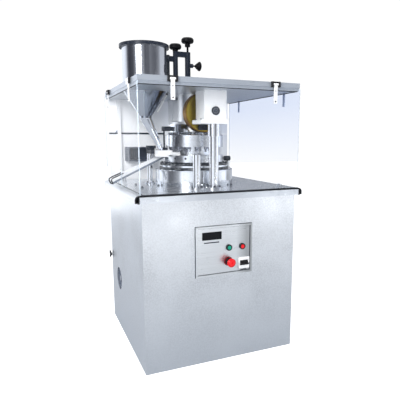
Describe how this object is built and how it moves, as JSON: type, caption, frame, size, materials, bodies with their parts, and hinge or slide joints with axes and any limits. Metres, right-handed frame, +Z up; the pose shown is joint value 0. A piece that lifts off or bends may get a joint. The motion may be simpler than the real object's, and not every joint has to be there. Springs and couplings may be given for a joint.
{
  "type": "tablet press",
  "caption": "Floor-standing rotary tablet press: a stainless cabinet, a turret of dies and punches under pressure rollers behind clear swing-up windows, and a round hopper on top.",
  "frame": {"origin": "centre of the cabinet's footprint, at floor level", "axes": "+Z up, -Y out of the front panel with the controls, +X to the operator's right"},
  "size_m": [0.8419, 0.808, 1.517],
  "materials": {
    "frame_paint": "satin",
    "cabinet_sheet": "brushed",
    "bed_iron": "painted",
    "rail_steel": "satin",
    "seal_rubber": "matte",
    "table_mirror": "mirror polish",
    "housing_steel": "polished",
    "ring_black": "semi-gloss",
    "head_steel": "satin",
    "axle_steel": "ground",
    "pillar_chrome": "polished",
    "cam_steel": "polished",
    "feeder_steel": "machined",
    "bracket_black": "blackened",
    "chute_steel": "polished",
    "hinge_black": "matte",
    "guard_steel": "brushed",
    "stand_iron": "dark paint",
    "panel_steel": "brushed",
    "bezel_black": "gloss",
    "breaker_white": "satin",
    "motor_paint": "satin",
    "belt_rubber": "matte",
    "hinge_steel": "satin",
    "turret_steel": "polished",
    "die_steel": "ground",
    "punch_steel": "polished",
    "wheel_bronze": "machined",
    "roller_bronze": "turned",
    "wheel_steel": "satin",
    "window_clear": "clear",
    "latch_black": "satin",
    "hopper_steel": "polished",
    "rim_dark": "dark",
    "knob_black": "gloss",
    "button_green": "gloss",
    "button_red": "gloss"
  },
  "bodies": {
    "machine_frame": {"base_frame": "frame_paint", "front_panel": "cabinet_sheet", "left_panel": "cabinet_sheet", "right_panel": "cabinet_sheet", "bed_plate": "bed_iron", "edge_rail": "rail_steel", "rail_seal": "seal_rubber", "table_top": "table_mirror", "cam_housing": "housing_steel", "dust_rings": "ring_black", "lower_cam": "bed_iron", "roller_bracket": "bed_iron", "head_block": "head_steel", "roller_shaft": "axle_steel", "front_pillar": "pillar_chrome", "support_posts": "pillar_chrome", "upper_casting": "head_steel", "upper_cam": "cam_steel", "feed_frame": "feeder_steel", "feeder_bracket": "bracket_black", "discharge_chute": "chute_steel", "top_cover": "rail_steel", "window_hinges": "hinge_black", "rear_guard": "guard_steel", "dust_nozzle": "bracket_black", "hopper_stand": "stand_iron", "control_panel": "panel_steel", "button_bezels": "bezel_black", "breaker_body": "breaker_white", "gear_case": "bed_iron", "motor_body": "motor_paint", "drive_belt": "belt_rubber", "cable_gland": "bezel_black", "door_fittings": "hinge_steel"},
    "turret": {"turret_shaft": "axle_steel", "turret_body": "turret_steel", "dies": "die_steel", "upper_punches": "punch_steel", "lower_punches": "die_steel", "worm_wheel": "wheel_bronze"},
    "top_roller": {"upper_roller": "roller_bronze"},
    "bottom_roller": {"lower_roller": "die_steel"},
    "worm": {"worm_shaft": "axle_steel"},
    "motor": {"motor_shaft": "axle_steel", "hand_wheel": "wheel_steel"},
    "window_front": {"front_window": "window_clear"},
    "window_left": {"left_window": "window_clear"},
    "window_right": {"right_window": "window_clear"},
    "door": {"rear_door": "cabinet_sheet"},
    "latch": {"door_latch": "latch_black"},
    "hopper_set": {"hopper": "hopper_steel", "hopper_rim": "rim_dark", "hopper_spout": "hopper_steel"},
    "knob_left": {"left_knob": "knob_black"},
    "knob_right": {"right_knob": "knob_black"},
    "knob_side": {"side_knob": "knob_black"},
    "green_button": {"start_button": "button_green"},
    "red_button": {"stop_button": "button_red"},
    "emergency_stop": {"estop_button": "button_red"},
    "toggle": {"breaker_toggle": "bezel_black"}
  },
  "joints": [
    {"name": "turret_spin", "type": "hinge", "parent": "machine_frame", "child": "turret", "pos_m": [0, 0, 0.94], "axis": [0, 0, 1], "continuous": true},
    {"name": "upper_roller_spin", "type": "hinge", "parent": "machine_frame", "child": "top_roller", "pos_m": [0, -0.12, 1.161], "axis": [0, 1, 0], "continuous": true},
    {"name": "lower_roller_spin", "type": "hinge", "parent": "machine_frame", "child": "bottom_roller", "pos_m": [0, -0.12, 0.7416], "axis": [0, 1, 0], "continuous": true},
    {"name": "worm_spin", "type": "hinge", "parent": "machine_frame", "child": "worm", "pos_m": [0, 0.1, 0.6], "axis": [1, 0, 0], "continuous": true},
    {"name": "motor_spin", "type": "hinge", "parent": "machine_frame", "child": "motor", "pos_m": [0, 0.173, 0.283], "axis": [1, 0, 0], "continuous": true},
    {"name": "front_window_swing", "type": "hinge", "parent": "machine_frame", "child": "window_front", "pos_m": [0, -0.388, 1.276], "axis": [-1, 0, 0], "range_deg": [0, 95]},
    {"name": "left_window_swing", "type": "hinge", "parent": "machine_frame", "child": "window_left", "pos_m": [-0.386, 0, 1.276], "axis": [0, 1, 0], "range_deg": [0, 95]},
    {"name": "right_window_swing", "type": "hinge", "parent": "machine_frame", "child": "window_right", "pos_m": [0.386, 0, 1.276], "axis": [0, -1, 0], "range_deg": [0, 95]},
    {"name": "rear_door_swing", "type": "hinge", "parent": "machine_frame", "child": "door", "pos_m": [0.38, 0.38, 0.4], "axis": [0, 0, -1], "range_deg": [0, 110]},
    {"name": "door_latch_turn", "type": "hinge", "parent": "machine_frame", "child": "latch", "pos_m": [-0.375, 0.364, 0.373], "axis": [1, 0, 0], "range_deg": [0, 90]},
    {"name": "hopper_lift", "type": "slide", "parent": "machine_frame", "child": "hopper_set", "axis": [0, 0, 1], "range_m": [0, 0.03]},
    {"name": "left_knob_turn", "type": "hinge", "parent": "machine_frame", "child": "knob_left", "pos_m": [-0.1105, -0.05, 1.46], "axis": [0, 0, 1], "range_deg": [0, 180]},
    {"name": "right_knob_turn", "type": "hinge", "parent": "machine_frame", "child": "knob_right", "pos_m": [-0.048, -0.05, 1.49], "axis": [0, 0, 1], "range_deg": [0, 180]},
    {"name": "side_knob_turn", "type": "hinge", "parent": "machine_frame", "child": "knob_side", "pos_m": [-0.02, -0.05, 1.388], "axis": [1, 0, 0], "range_deg": [0, 180]},
    {"name": "start_button_push", "type": "slide", "parent": "machine_frame", "child": "green_button", "axis": [0, 1, 0], "range_m": [0, 0.005], "stiffness_N_per_m": 400},
    {"name": "stop_button_push", "type": "slide", "parent": "machine_frame", "child": "red_button", "axis": [0, 1, 0], "range_m": [0, 0.005], "stiffness_N_per_m": 400},
    {"name": "estop_push", "type": "slide", "parent": "machine_frame", "child": "emergency_stop", "axis": [0, 1, 0], "range_m": [0, 0.006], "stiffness_N_per_m": 800},
    {"name": "breaker_toggle_flip", "type": "hinge", "parent": "machine_frame", "child": "toggle", "pos_m": [0.1, -0.377, 0.468], "axis": [-1, 0, 0], "range_deg": [0, 50]}
  ],
  "couplings": [
    {"joint": "upper_roller_spin", "follows": "turret_spin", "ratio": -1.2766},
    {"joint": "lower_roller_spin", "follows": "turret_spin", "ratio": 1.875},
    {"joint": "worm_spin", "follows": "turret_spin", "ratio": 24},
    {"joint": "motor_spin", "follows": "turret_spin", "ratio": 50.667}
  ]
}
